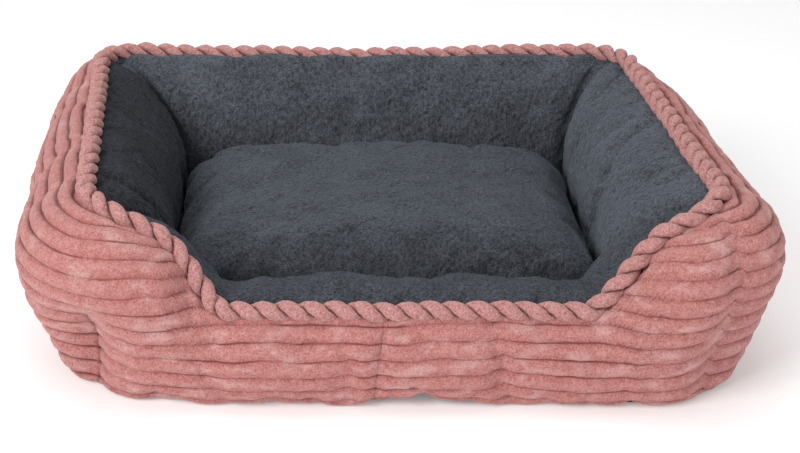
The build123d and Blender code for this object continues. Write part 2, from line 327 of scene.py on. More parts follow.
def inside(wall, a, rows):
    """A lining's face: a runs from -1 to 1 between its creases, and the rows run down from the rim seam."""
    out = np.array(WALLS[wall], float)
    way = np.array([out[1], -out[0]])
    along_axis = wall in ("front", "back")
    rim, half = (RIM_Y, RIM_X) if along_axis else (RIM_X, RIM_Y)
    squeeze, lean = (MITRE_SQUEEZE, 1 / MITRE_SQUEEZE) if along_axis else (1.0, MITRE_SQUEEZE)
    at_rim = a * (half - RIM_SAG)
    over = np.clip(np.abs(at_rim) - (half - RIM_CORNER), 0, RIM_CORNER)
    drop = RIM_CORNER - np.sqrt(RIM_CORNER**2 - over**2)
    rim_place = np.outer(rim - drop, out) + np.outer(at_rim, way)
    share = rim_share(rim_place)
    even = sections(IN_LOW, IN_HIGH, share, rows)[0]
    u, z = even[..., 0], even[..., 1]
    u = np.where(u < -RIM_SAG, -RIM_SAG + (u + RIM_SAG) * squeeze, u)
    t = np.linspace(0, 1, rows)[:, None]
    body = np.sin(pi * t) ** 0.5
    end = half - RIM_SAG
    past = np.clip(-u - RIM_SAG, 0, None)
    along = a[None] * (end - past * lean)
    # towards each crease the plush rounds back into the corner
    to_crease = (1 - np.abs(a))[None] * end
    round_off = hump(to_crease, 13 * MM)
    u = u + 7 * MM * round_off * body
    u = u - 3.5 * MM * hump(to_crease - 42 * MM, 24 * MM) * body
    seed = {"front": 1.0, "right": 2.3, "back": 3.9, "left": 5.2}[wall]
    if wall == "front":
        z = z + 3.2 * MM * (body * (1 - share)[None]) * waves(at_rim, 0.12, 2.0)[None]
    if wall == "back":
        # its roll stands up in front of the trim
        roll = hump(t - 0.09, 0.07) * smoothstep(t / 0.05)
        z = z + 11 * MM * roll * np.sqrt(np.clip(1 - a**2, 0, 1))[None]
    if wall == "left":
        # a fold that runs down into the front corner
        gap = (1 + a)[None] * end - (70 - 48 * t) * MM
        fold = 9 * hump(gap, 8 * MM) - 5 * hump(gap - 24 * MM, 15 * MM) - 6 * hump(gap + 20 * MM, 13 * MM)
        u = u + body * MM * fold
    u = u + 3.2 * MM * body * wander(at_rim[None] + 0 * z, z, 0.21, seed) * (1 - hump(to_crease, 22 * MM))
    inward = np.where(u < 0, (np.abs(u) ** 4 + drop[None] ** 4) ** 0.25, -u)
    place = out * (rim - inward)[..., None] + way * along[..., None]
    z = z + (1 - t) * rim_droop(rim_place)[None]
    points = np.empty(z.shape + (3,))
    points[..., :2] = place
    points[..., 2] = z
    return leaned(points)


# Mesh work

def new_object(name, data):
    made = bpy.data.objects.new(name, data)
    bpy.context.scene.collection.objects.link(made)
    return made


def grid_faces(name, columns, rows):
    """A flat grid of columns by rows points, with the row and column of each vertex."""
    bm = bmesh.new()
    bmesh.ops.create_grid(bm, x_segments=columns - 1, y_segments=rows - 1, size=1.0)
    mesh = bpy.data.meshes.new(name)
    bm.to_mesh(mesh)
    bm.free()
    flat = read_points(mesh)
    column = np.rint((flat[:, 0] + 1) / 2 * (columns - 1)).astype(int)
    row = np.rint((1 - flat[:, 1]) / 2 * (rows - 1)).astype(int)
    return mesh, row, column


def write_points(mesh, points):
    mesh.vertices.foreach_set("co", np.asarray(points, np.float32).reshape(-1))
    mesh.update()


def read_points(mesh):
    flat = np.empty(len(mesh.vertices) * 3, np.float32)
    mesh.vertices.foreach_get("co", flat)
    return flat.reshape(-1, 3).astype(float)


def sheet_mesh(name, points, pattern=None, hidden=None):
    """A mesh over an array of points, which faces out when its rows run down and its columns to the right.

    pattern is the place of each point in the cloth's own pattern, written as a UV map. hidden marks the
    points of edges that meet the next piece of cloth without a dent."""
    rows, columns = points.shape[:2]
    mesh, row, column = grid_faces(name, columns, rows)
    write_points(mesh, points[row, column])
    if pattern is not None:
        corner = np.empty(len(mesh.loops), np.int32)
        mesh.loops.foreach_get("vertex_index", corner)
        layer = mesh.uv_layers.new(name="cloth")
        layer.uv.foreach_set("vector", pattern[row, column][corner].astype(np.float32).reshape(-1))
    mesh.polygons.foreach_set("use_smooth", np.ones(len(mesh.polygons), bool))
    if hidden is not None:
        ends = np.empty(2 * len(mesh.edges), np.int32)
        mesh.edges.foreach_get("vertices", ends)
        mesh.edges.foreach_set("use_edge_sharp", hidden[row, column][ends.reshape(-1, 2)].all(1))
    return mesh


def face_normals(points, closed=False):
    """Outward normals of an array of points, joined end to end along its columns where closed."""
    if closed:
        wide = np.concatenate([points[:, -2:-1], points, points[:, 1:2]], axis=1)
        across = wide[:, 2:] - wide[:, :-2]
    else:
        across = np.gradient(points, axis=1)
    down = np.gradient(points, axis=0)
    normal = np.cross(down, across)
    return normal / np.maximum(np.linalg.norm(normal, axis=-1, keepdims=True), 1e-12)


def settle(name, points, held, cap, spare, pressure=4.0):
    """Lets the cloth puff and pucker between its held points, and gives each point's move, at most cap."""
    mesh, row, column = grid_faces(name, points.shape[1], points.shape[0])
    write_points(mesh, points[row, column])
    cloth = new_object(name, mesh)
    group = cloth.vertex_groups.new(name="held")
    weight = np.round(held[row, column], 2)
    for level in np.unique(weight[weight > 0]):
        chosen = np.nonzero(weight == level)[0]
        group.add([int(i) for i in chosen], float(level), "REPLACE")
    modifier = cloth.modifiers.new("Cloth", "CLOTH")
    settings = modifier.settings
    settings.quality = 5
    settings.mass = 0.25
    settings.tension_stiffness = settings.compression_stiffness = 12
    settings.shear_stiffness = 6
    settings.bending_stiffness = 2.5
    settings.use_pressure = True
    settings.uniform_pressure_force = pressure
    settings.shrink_min = -spare
    settings.vertex_group_mass = "held"
    settings.effector_weights.gravity = 0
    modifier.collision_settings.use_collision = False
    scene = bpy.context.scene
    for step in range(1, SETTLE_FRAMES + 1):
        scene.frame_set(step)
    moved = cloth.evaluated_get(bpy.context.evaluated_depsgraph_get())
    after = read_points(moved.data)
    scene.frame_set(1)
    bpy.data.objects.remove(cloth)
    bpy.data.meshes.remove(mesh)
    shift = np.zeros(points.shape)
    shift[row, column] = after - points[row, column]
    shift = np.nan_to_num(shift)
    length = np.linalg.norm(shift, axis=-1, keepdims=True)
    return shift / np.maximum(length, 1e-9) * cap * np.tanh(length / cap)


def blend_matrix(fine, coarse):
    """Smooth cubic weights that carry values at coarse positions to fine ones, both from 0 to 1."""
    place = np.asarray(fine) * (coarse - 1)
    matrix = np.zeros((len(place), coarse))
    for j in range(coarse):
        x = np.abs(place - j)
        near = 1 - 2.5 * x**2 + 1.5 * x**3
        far = 2 - 4 * x + 2.5 * x**2 - 0.5 * x**3
        matrix[:, j] = np.where(x < 1, near, np.where(x < 2, far, 0))
    return matrix / matrix.sum(1, keepdims=True)


def spread(shift, rows, columns):
    """Carries settled shifts on a coarse array to rows and columns given as fractions."""
    down = blend_matrix(rows, shift.shape[0])
    across = blend_matrix(columns, shift.shape[1])
    return np.einsum("ri,ijk,cj->rck", down, shift, across)


def place_object(name, mesh, body, nodes):
    """Puts a finished piece in the scene, riding on its body and standing for its CAD nodes."""
    piece = new_object(name, mesh)
    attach(piece, body)
    if nodes:
        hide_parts(*nodes)
    return piece


def thicken(piece, thickness):
    shell = piece.modifiers.new("Thickness", "SOLIDIFY")
    shell.thickness = thickness
    shell.offset = -1
    shell.use_even_offset = False


# Materials

class Socket:
    """A shader socket, or a plain number, that sums write Math nodes for."""

    def __init__(self, paint, value):
        self.paint, self.value = paint, value

    def maths(self, operation, *others, clamp=False):
        settings = {"operation": operation, "use_clamp": clamp}
        return self.paint.node("ShaderNodeMath", settings, [self, *others])

    def __add__(self, other):
        return self.maths("ADD", other)

    def __sub__(self, other):
        return self.maths("SUBTRACT", other)

    def __mul__(self, other):
        return self.maths("MULTIPLY", other)

    def __rsub__(self, other):
        return self.paint.number(other).maths("SUBTRACT", self)

    __radd__, __rmul__ = __add__, __mul__

    def clamped(self):
        return self.maths("ADD", 0.0, clamp=True)

    def step(self, low, high):
        """0 below low and 1 above high, with a smooth climb."""
        return self.paint.node("ShaderNodeMapRange", {"interpolation_type": "SMOOTHSTEP"},
                               {"Value": self, "From Min": low, "From Max": high})


class Paint:
    """One material and its nodes."""

    def __init__(self, name, roughness=0.9, sheen=0.0, sheen_tint=(1, 1, 1), sheen_roughness=0.4):
        self.material = bpy.data.materials.new(name)
        self.material.use_nodes = True
        self.nodes, self.links = self.material.node_tree.nodes, self.material.node_tree.links
        self.shader = self.nodes["Principled BSDF"]
        self.shader.inputs["Roughness"].default_value = roughness
        self.shader.inputs["Specular IOR Level"].default_value = 0.12
        self.shader.inputs["Sheen Weight"].default_value = sheen
        self.shader.inputs["Sheen Roughness"].default_value = sheen_roughness
        self.shader.inputs["Sheen Tint"].default_value = (*sheen_tint, 1)

    def number(self, value):
        return Socket(self, value)

    def feed(self, socket, value):
        if isinstance(value, Socket):
            value = value.value
        if isinstance(value, bpy.types.NodeSocket):
            self.links.new(value, socket)
        elif socket.type == "RGBA" and len(value) == 3:
            socket.default_value = (*value, 1)
        else:
            socket.default_value = value

    def node(self, kind, settings=None, inputs=None, output=0):
        made = self.nodes.new(kind)
        for key, value in (settings or {}).items():
            setattr(made, key, value)
        pairs = inputs.items() if isinstance(inputs, dict) else enumerate(inputs or [])
        for key, value in pairs:
            self.feed(made.inputs[key], value)
        return Socket(self, made.outputs[output])

    def mix(self, factor, a, b):
        made = self.nodes.new("ShaderNodeMix")
        made.data_type = "RGBA"
        for key, value in ((0, factor), (6, a), (7, b)):
            self.feed(made.inputs[key], value)
        return Socket(self, made.outputs[2])

    def place(self, stretch=(1, 1, 1), turn=(0, 0, 0), source="Object"):
        found = self.node("ShaderNodeTexCoord", output=source)
        return self.node("ShaderNodeMapping", None, {"Vector": found, "Scale": stretch, "Rotation": turn})

    def noise(self, size, detail=2.0, place=None, roughness=0.5):
        """Noise whose spots are about size across, from 0 to 1 with a middle of a half."""
        where = place or self.place()
        inputs = {"Vector": where, "Scale": 1 / size, "Detail": detail, "Roughness": roughness}
        return self.node("ShaderNodeTexNoise", None, inputs)

    def bump(self, height, distance, strength=1.0):
        inputs = {"Height": height, "Distance": distance, "Strength": strength}
        return self.node("ShaderNodeBump", None, inputs)

    def finish(self, colour, height=None, distance=MM, strength=1.0):
        self.feed(self.shader.inputs["Base Color"], colour)
        if height is not None:
            self.feed(self.shader.inputs["Normal"], self.bump(height, distance, strength))
        return self.material


def tone(colour, factor):
    return tuple(min(c * factor, 1.0) for c in colour)


def deep(colour):
    """The colour between the tufts of a pile."""
    red, green, blue = colour
    return (red * 0.66, green * 0.5, blue * 0.48)


def dusty(colour, share):
    """The colour of a pile's tips, where they scatter light."""
    return tuple(c + (m - c) * share for c, m in zip(tone(colour, 1.25), (0.66, 0.54, 0.52)))


def corduroy(colour):
    """Wide-wale corduroy: brushed pile on each rib and a groove between ribs, counted by the UV map, with
    painted shade in the grooves.
    """
    paint = Paint("corduroy", roughness=0.92, sheen=0.3, sheen_tint=(1.0, 0.84, 0.8))
    across = paint.node("ShaderNodeSeparateXYZ", None, [paint.place(source="UV")], output=1)
    rib = across.maths("FRACT")
    height = 1 - (2 * rib - 1).maths("ABSOLUTE")
    # painted shade in the grooves: darker and wider on the sides and back than on the front, and left out in
    # scattered patches where the grooves close up
    behind = paint.node("ShaderNodeSeparateXYZ", None, [paint.place()], output=1).step(-0.26, -0.18)
    groove_shade_gaps = paint.noise(48 * MM, 2.0).step(0.36, 0.62) * (0.78 - 0.68 * behind)
    narrow, wide = height.step(0.0, 0.2), height.step(0.0, 0.38)
    groove = (narrow + (wide - narrow) * behind + groove_shade_gaps).clamped()
    speckle = paint.noise(1.7 * MM, 2.5, roughness=0.7)
    tuft = paint.noise(6 * MM, 3.0)
    brushed = paint.noise(30 * MM, 3.0, paint.place((1, 1, 2.2)))
    # the rib height term paints the crests a little lighter, as a highlight
    light = (speckle - 0.5) * 2.1 + (tuft - 0.5) * 0.7 + (height - 0.5) * 0.2 + 0.46
    pile = paint.mix(light.clamped(), deep(colour), dusty(colour, 0.28))
    # lighter patches of brushed nap, partly the pile's own look and partly painted sheen, stronger on the
    # crests
    pile = paint.mix(brushed.step(0.5, 0.72) * (light * 0.6 + 0.3), pile, dusty(colour, 0.55))
    shade = paint.mix(behind, tone(deep(colour), 0.75), tone(deep(colour), 0.4))
    cloth = paint.mix(groove, shade, pile)
    relief = speckle * 0.8 + tuft * 0.6
    return paint.finish(cloth, relief, 2.6 * MM, 0.9)


def rope_plush(colour):
    """Brushed plush, wound into strands, with painted shade where the strands meet."""
    paint = Paint("rope_plush", roughness=0.92, sheen=0.3, sheen_tint=(1.0, 0.84, 0.8))
    turn = paint.node("ShaderNodeSeparateXYZ", None, [paint.place(source="UV")], output=1)
    # painted shade on each strand's inner side, where it meets the other strand
    open_side = turn.step(0.05, 0.6)
    speckle = paint.noise(1.9 * MM, 2.5, roughness=0.7)
    tuft = paint.noise(5 * MM, 3.0)
    light = (speckle - 0.5) * 2.1 + (tuft - 0.5) * 0.6 + 0.52
    pile = paint.mix(light.clamped(), deep(colour), dusty(colour, 0.5))
    cloth = paint.mix(open_side, tone(deep(colour), 0.62), pile)
    return paint.finish(cloth, speckle * 0.8 + tuft * 0.6, 2.6 * MM, 0.9)


def short_plush(name, colour, light_share=0.5, sheen=0.2):
    """Dark short-pile plush: fine slanting strokes where the pile parts, and cloudy brushed patches."""
    paint = Paint(name, roughness=0.95, sheen=sheen, sheen_tint=(0.74, 0.84, 1.0), sheen_roughness=0.5)
    slant = paint.place((1.0, 1.0, 0.5), (0.3, 0.5, 0.75))
    stroke = paint.noise(3.6 * MM, 2.0, slant, roughness=0.6)
    speckle = paint.noise(1.6 * MM, 2.0)
    parted = paint.noise(4.2 * MM, 2.0, paint.place((1, 0.42, 0.6), (0.2, 0.1, 0.7)))
    cloud = paint.noise(60 * MM, 4.0, roughness=0.6)
    light = (stroke - 0.5) * 1.4 + (speckle - 0.5) * 1.6 + (cloud - 0.5) * 0.8 + light_share
    pile = paint.mix(light.clamped(), tone(colour, 0.3), tone(colour, 1.8))
    dark = parted.step(0.64, 0.69) * 0.45
    cloth = paint.mix(dark, pile, tone(colour, 0.28))
    return paint.finish(cloth, stroke + speckle * 0.6 - parted * 0.5, 4 * MM, 1.0)


def base_cloth():
    """Dark plain weave."""
    paint = Paint("base_cloth", roughness=0.8)
    warp, weft = (paint.node("ShaderNodeTexWave", {"bands_direction": axis},
                             {"Vector": paint.place(), "Scale": 350.0}) for axis in "XY")
    weave = warp * weft
    cloth = paint.mix(weave, (0.012, 0.012, 0.014), (0.04, 0.04, 0.044))
    return paint.finish(cloth, weave, 0.4 * MM, 0.6)


def fibre():
    """White matted fibre."""
    paint = Paint("fibre", roughness=1.0, sheen=0.2)
    strand = paint.noise(3 * MM, 4.0, paint.place((1, 0.25, 0.5), (0.4, 0.2, 0.7)))
    return paint.finish(paint.mix(strand, (0.62, 0.61, 0.58), (0.9, 0.9, 0.88)), strand, 2 * MM, 0.8)


def pale_floor():
    paint = Paint("pale_floor", roughness=0.85)
    paint.shader.inputs["Emission Color"].default_value = (1, 1, 1, 1)
    paint.shader.inputs["Emission Strength"].default_value = 0.17
    return paint.finish((0.93, 0.93, 0.93))


# Pieces

def seam_order():
    """The outside panels, each with the seams at its two ends, going round from the front join."""
    at = seam_places()
    return (("outer_panel_front_right", at["front"], at["right_front"]),
            ("outer_panel_right", at["right_front"], at["right_back"]),
            ("outer_panel_back", at["right_back"], at["left_back"]),
            ("outer_panel_left", at["left_back"], at["left_front"]),
            ("outer_panel_front_left", at["left_front"], at["front"] + RIM_LENGTH))


def outer_shift(spare, cap):
    """How the corduroy settles, on a coarse array that starts at the front join."""
    columns = 220
    start = seam_places()["front"]
    s = start + np.linspace(0, RIM_LENGTH, columns)
    points = outside(s, COARSE_ROWS)[0]
    held = np.zeros((COARSE_ROWS, columns))
    for name, at in seam_places().items():
        strength = seam_strength(name, points[..., 2])
        held = np.maximum(held, 0.6 * (strength > 0.4) * (np.abs(ring_gap(s, at)) < 7 * MM)[None])
    held[[0, -1]] = 1.0
    held[[1, -2]] = 0.5
    held[:, [0, -1]] = 1.0
    return settle("outside_cloth", points, held, cap, spare)


def rib_relief(pattern):
    """A rib's roundness: 0 in the groove and 1 on the crest."""
    across = 2 * np.mod(pattern, 1.0) - 1
    return np.sqrt(np.clip(1 - np.abs(across) ** 2.2, 0, 1))


def outer_panels(sizes):
    rows = CORDUROY_ROWS
    shift = outer_shift(sizes.spare_cloth, CORDUROY_CAP)
    start = seam_places()["front"]
    spans = seam_order()
    counts = [int(ceil((b - a) / sizes.column)) + 1 for name, a, b in spans]
    s = [np.linspace(a, b, n)[:-1] for (name, a, b), n in zip(spans, counts)]
    s = np.concatenate([*s, [spans[-1][2]]])
    points, left = outside(s, rows)
    shift = spread(shift, np.linspace(0, 1, rows), (s - start) / RIM_LENGTH)
    # the sides and the back pucker less than the front
    calm = smoothstep((points[..., 1] + 0.2) / 0.1)
    points = points + shift * (1 - 0.6 * calm)[..., None]
    normal = face_normals(points, closed=True)
    x, y, z = points[..., 0], points[..., 1], points[..., 2]
    pattern = left / sizes.wale + 0.2 * wander(x + 0.6 * z, y - 0.9 * z, 0.26, 7.0)
    pattern = pattern + 0.05 * wander(x + 0.2 * z, y, 0.12, 2.0)
    # the right panel is cut a little lower on the cloth
    pattern = pattern + 0.35 * ((s > spans[1][1]) & (s < spans[1][2]))[None]
    relief = rib_relief(pattern)
    # grooves close up in places, and flatten at the seams
    front = smoothstep((-y - 0.2) / 0.06)
    depth = 1.5 - 0.6 * front + (0.1 + 0.3 * front) * wander(x - 0.8 * z, y + 0.9 * z, 0.13, 5.0)
    seam = 0.0
    for name, at in seam_places().items():
        seam = np.maximum(seam, hump(ring_gap(s, at), 6 * MM)[None] * seam_strength(name, z))
    # the panels' edges show as a line at the front join and low on the left front seam
    stitched = np.zeros(len(s), bool)
    for name in ("front", "left_front"):
        stitched |= np.abs(ring_gap(s, seam_places()[name])) < MM
    lumps = 0.35 * MM * wander(x + y, z - 0.4 * x, 0.03, 3.0) + 0.3 * MM * wander(x - y, z + y, 0.011, 1.0)
    height = sizes.rib * (relief - 0.75) * depth * (1 - 0.4 * seam) + lumps * relief - 1.6 * MM * seam
    height = height * smoothstep(left / 0.014)
    points = points + normal * height[..., None]
    points[..., 2] = np.maximum(points[..., 2], HEM_Z)
    along = np.broadcast_to(s[None], pattern.shape)
    cloth = np.stack([along, pattern], axis=-1)
    material = corduroy(tuple(sizes.pink))
    first = 0
    for (name, a, b), n in zip(spans, counts):
        chosen = slice(first, first + n)
        first += n - 1
        hidden = np.zeros(pattern[:, chosen].shape, bool)
        hidden[:, [0, -1]] = (seam < 0.5)[:, chosen][:, [0, -1]] | ~stitched[chosen][[0, -1]]
        mesh = sheet_mesh(name, points[:, chosen], cloth[:, chosen], hidden)
        mesh.materials.append(material)
        thicken(place_object(name + "_cloth", mesh, "bed", [name]), CLOTH)


def lining_points(wall, rows, columns):
    """A lining's settled face."""
    coarse_columns = 60 if wall in ("front", "back") else 44
    reach = 1 + CREASE_TUCK / (RIM_X if wall in ("front", "back") else RIM_Y)
    points = inside(wall, np.linspace(-reach, reach, coarse_columns), COARSE_ROWS)
    held = np.zeros(points.shape[:2])
    held[[0, -1]] = 1.0
    held[1] = 0.4
    held[:, [0, -1]] = 1.0
    held[:, [1, -2]] = 0.3
    shift = settle(wall + "_cloth", points, held, LINING_CAP, PLUSH_SPARE)
    a = np.linspace(-reach, reach, columns)
    fine = inside(wall, a, rows)
    fine = fine + spread(shift, np.linspace(0, 1, rows), (a / reach + 1) / 2)
    x, z = fine[..., 0] + 0.7 * fine[..., 1], fine[..., 2] + 0.3 * fine[..., 1]
    return fine + face_normals(fine) * nap(x, z)[..., None]


def nap(x, y):
    """How the pile's clumps stand up from the cloth."""
    broad, middling, fine = wander(x, y, 0.03, 6.0), wander(x, y, 0.012, 2.0), wander(x, y, 0.0065, 4.0)
    return MM * (0.7 * broad + 0.5 * middling + 0.35 * fine)


def linings(sizes):
    slate = tuple(sizes.slate)
    material = short_plush("lining_plush", slate, 0.5)
    # painted shade: the left and front linings get darker copies of the same plush with weaker sheen, the
    # left one darkest, as it faces away from the key lamp
    materials = {"left": short_plush("lining_plush_shaded_left", tone(slate, 0.4), 0.42, 0.07),
                 "front": short_plush("lining_plush_shaded_front", tone(slate, 0.78), 0.46, 0.1)}
    for wall in WALLS:
        name = "lining_" + wall
        columns = int((0.56 if wall in ("front", "back") else 0.4) / sizes.plush_step)
        mesh = sheet_mesh(name, lining_points(wall, LINING_ROWS, columns))
        mesh.materials.append(materials.get(wall, material))
        thicken(place_object(name + "_cloth", mesh, "bed", [name]), CLOTH)


def rope_line(columns):
    """The trim's middle line as it lies on the rim seam, and its outward and upward ways."""
    s = np.linspace(0, RIM_LENGTH, columns + 1)[:-1]
    place, facing = rim_line(s)
    share = rim_share(place)
    points = np.empty((columns, 3))
    points[:, :2] = place + facing * (DIP * (1 - share))[:, None]
    points[:, 2] = SEAM_LOW + (SEAM_HIGH - SEAM_LOW) * share + rim_droop(place)
    points[:, 2] += 0.8 * MM * waves(s, 0.16, 3.0)
    leaned(points)
    way = np.roll(points, -1, 0) - np.roll(points, 1, 0)
    way /= np.linalg.norm(way, axis=1, keepdims=True)
    out = np.concatenate([facing, np.zeros((columns, 1))], axis=1)
    out -= way * (out * way).sum(1, keepdims=True)
    out /= np.linalg.norm(out, axis=1, keepdims=True)
    up = np.cross(out, way)
    return points, out, up


def rope_strands(sizes):
    points, out, up = rope_line(ROPE_COLUMNS)
    points = points + up * sizes.rope * 0.5
    step = np.linalg.norm(np.roll(points, -1, 0) - points, axis=1)
    length = step.sum()
    turns = round(length / sizes.twist)
    run = np.concatenate([[0], np.cumsum(step)[:-1]]) / length
    radius, reach = sizes.rope * 0.27, sizes.rope * 0.265
    material = rope_plush(tuple(sizes.pink))
    ring = np.linspace(0, 2 * pi, ROPE_AROUND + 1)
    for number, name in enumerate(("rope_strand_a", "rope_strand_b")):
        uneven = 0.25 * waves(run * length, 0.37, 4.0)
        angle = -2 * pi * turns * run + pi * number + uneven
        spoke = np.cos(angle)[:, None] * out + np.sin(angle)[:, None] * up
        centre = points + reach * spoke
        along = np.roll(centre, -1, 0) - np.roll(centre, 1, 0)
        along /= np.linalg.norm(along, axis=1, keepdims=True)
        spoke = spoke - along * (spoke * along).sum(1, keepdims=True)
        spoke /= np.linalg.norm(spoke, axis=1, keepdims=True)
        side = np.cross(along, spoke)
        place = run * length
        crimp = 0.05 * np.sin(3 * ring[None] + 2 * pi * turns * 5 * run[:, None] + number)
        round_x, round_y = 4 * MM * np.cos(ring)[None], 4 * MM * np.sin(ring)[None]
        pile = 0.09 * wander(place[:, None] + round_x, place[:, None] * 0.7 + round_y, 0.008, 1.0 + number)
        bead = 0.17 * np.cos(angle - 0.8) + 0.04 * np.cos(2 * (angle - 0.8))
        plump = 1 + bead[:, None] + 0.05 * waves(place, 0.03, 1.0 + number)[:, None] + crimp + pile
        section = (np.cos(ring)[None, :, None] * spoke[:, None]
                   + 1.12 * np.sin(ring)[None, :, None] * side[:, None])
        surface = centre[:, None] + radius * plump[..., None] * section
        surface = np.concatenate([surface, surface[:1]])
        # the UV's second axis runs from each strand's inner side to its outer side, to place the painted
        # shade where the strands meet
        outer_side = np.broadcast_to((np.cos(ring) * 0.5 + 0.5)[None], surface.shape[:2])
        along_place = np.broadcast_to(np.append(place, length)[:, None], surface.shape[:2])
        mesh = sheet_mesh(name, surface, np.stack([along_place, outer_side], -1))
        weld(mesh)
        mesh.materials.append(material)
        place_object(name + "_cord", mesh, "bed", [name])


def weld(mesh):
    """Joins the meeting edges of a closed shape and turns its faces outwards."""
    bm = bmesh.new()
    bm.from_mesh(mesh)
    bmesh.ops.remove_doubles(bm, verts=bm.verts, dist=0.02 * MM)
    bmesh.ops.recalc_face_normals(bm, faces=bm.faces)
    bm.to_mesh(mesh)
    bm.free()


def cushion_half(side, columns, rows, shrink=0.0):
    """The cushion's face above its seam, for side 1, or below it, for side -1."""
    low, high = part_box("cushion_bottom")[0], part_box("cushion_top")[1]
    seam = (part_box("cushion_bottom")[1][2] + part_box("cushion_top")[0][2]) / 2
    half_x, half_y = high[0] - 1.5 * MM - shrink, high[1] - 1.0 * MM - shrink
    corner = CUSHION_CORNER - shrink
    a = np.sin(np.linspace(-1, 1, columns) * pi / 2)[None] * np.ones((rows, 1))
    b = np.sin(np.linspace(1, -1, rows) * pi / 2)[:, None] * np.ones((1, columns))
    x, y = round_corners(a * half_x, b * half_y, half_x, half_y, corner)
    if side > 0:
        edge = np.sqrt(np.clip((1 - np.abs(a) ** 8) * (1 - np.abs(b) ** 9), 0, 1))
        crown = 0.77 + 0.26 * (1 - a**2) * (1 - 0.12 * b**2)
        z = seam + (high[2] + CUSHION_CROWN - shrink - seam) * edge * crown
        z += (3.2 * MM * wander(x, y, 0.15, 2.0) + 2.4 * MM * wander(x, y, 0.07, 5.0)) * edge
    else:
        edge = np.sqrt(np.clip((1 - np.abs(a) ** 12) * (1 - np.abs(b) ** 10), 0, 1))
        z = seam - (seam - low[2] - shrink) * edge
    # the seam's edge gathers a little
    rim = 1 - np.clip(np.maximum(np.abs(a), np.abs(b)), 0, 1)
    angle = np.arctan2(y, x)
    gather = np.sin(34 * angle + 3 * np.sin(5 * angle)) * hump(rim, 0.12) * 0.9 * MM
    scale = 1 - gather / np.maximum(np.hypot(x, y), 1e-6)
    points = np.stack([x * scale, y * scale, z], -1)
    if side < 0:
        points = points[:, ::-1]
    return leaned(points)


def cushion_covers(sizes):
    material = short_plush("cushion_plush", tone(tuple(sizes.slate), 0.72), 0.48)
    for side, name, cap in ((1, "cushion_top", CUSHION_TOP_CAP), (-1, "cushion_bottom", CUSHION_BOTTOM_CAP)):
        coarse = cushion_half(side, 64, 46)
        held = np.zeros(coarse.shape[:2])
        held[[0, -1]] = held[:, [0, -1]] = 1.0
        shift = settle(name + "_cloth", coarse, held, cap, PLUSH_SPARE, pressure=3.0)
        if side < 0:
            shift[..., 2] = np.maximum(shift[..., 2], 0.0)
        columns, rows = int(0.46 / sizes.plush_step), int(0.31 / sizes.plush_step)
        points = cushion_half(side, columns, rows)
        points = points + spread(shift, np.linspace(0, 1, rows), np.linspace(0, 1, columns))
        normal = face_normals(points)
        x, y = points[..., 0], points[..., 1]
        inner = np.zeros(points.shape[:2])
        inner[2:-2, 2:-2] = 1.0
        points = points + normal * (nap(x + 0.4 * points[..., 2], y) * inner)[..., None]
        mesh = sheet_mesh(name, points)
        mesh.materials.append(material)
        piece = place_object(name + "_cover", mesh, "cushion", [name])
        thicken(piece, CLOTH)


def stuffing():
    """The stuffing of each bolster and of the cushion, inside their cloth."""
    material = fibre()
    at = seam_places()
    ends = {"front": (at["left_front"] - RIM_LENGTH, at["right_front"]),
            "right": (at["right_front"], at["right_back"]),
            "back": (at["right_back"], at["left_back"]),
            "left": (at["left_back"], at["left_front"])}
    for wall, (start, stop) in ends.items():
        columns, rows = 64, 22
        margin = 9 * MM
        outer = outside(np.linspace(start + margin, stop - margin, columns), rows)[0]
        inner = inside(wall, np.linspace(1, -1, columns) * 0.95, rows)
        outer -= face_normals(outer) * CORE_GAP
        inner += face_normals(inner) * CORE_GAP
        loop = np.concatenate([outer[::-1], inner[1:]])
        loop[..., 2] = np.maximum(loop[..., 2], FLOOR_Z * 0.5)
        mesh = sheet_mesh("fill_" + wall, loop)
        close_ends(mesh)
        mesh.materials.append(material)
        place_object(f"fill_{wall}_fibre", mesh, "bed", ["fill_" + wall])
    top, bottom = (cushion_half(side, 40, 30, shrink=CORE_GAP) for side in (1, -1))
    mesh = sheet_mesh("cushion_fill", np.concatenate([top, bottom[::-1, ::-1]]))
    close_ends(mesh)
    mesh.materials.append(material)
    place_object("cushion_fill_fibre", mesh, "cushion", ["cushion_fill"])
    # the wadding is carried over from the frame
    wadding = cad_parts["base_wadding"].data.materials
    if len(wadding):
        wadding[0] = material
    else:
        wadding.append(material)


def close_ends(mesh):
    """Closes a bent sheet into a solid shape."""
    bm = bmesh.new()
    bm.from_mesh(mesh)
    bmesh.ops.remove_doubles(bm, verts=bm.verts, dist=0.05 * MM)
    bmesh.ops.holes_fill(bm, edges=[e for e in bm.edges if e.is_boundary], sides=0)
    bmesh.ops.triangulate(bm, faces=[f for f in bm.faces if len(f.verts) > 4])
    bmesh.ops.recalc_face_normals(bm, faces=bm.faces)
    bm.to_mesh(mesh)
    bm.free()


def hem_radius(angle):
    """How far the base reaches from the bed's middle, at angles in plan: just under the corduroy's end."""
    points = outside(np.linspace(0, RIM_LENGTH, 721)[:-1], 40)[0]
    away = np.hypot(points[..., 0], points[..., 1])
    radius = np.minimum(away[-1] + BASE_LAP, away[-6:-1].min(0) - 1.5 * MM)
    around = np.arctan2(points[-1, :, 1], points[-1, :, 0])
    order = np.argsort(around)
    return np.interp(angle, around[order], radius[order], period=2 * pi)


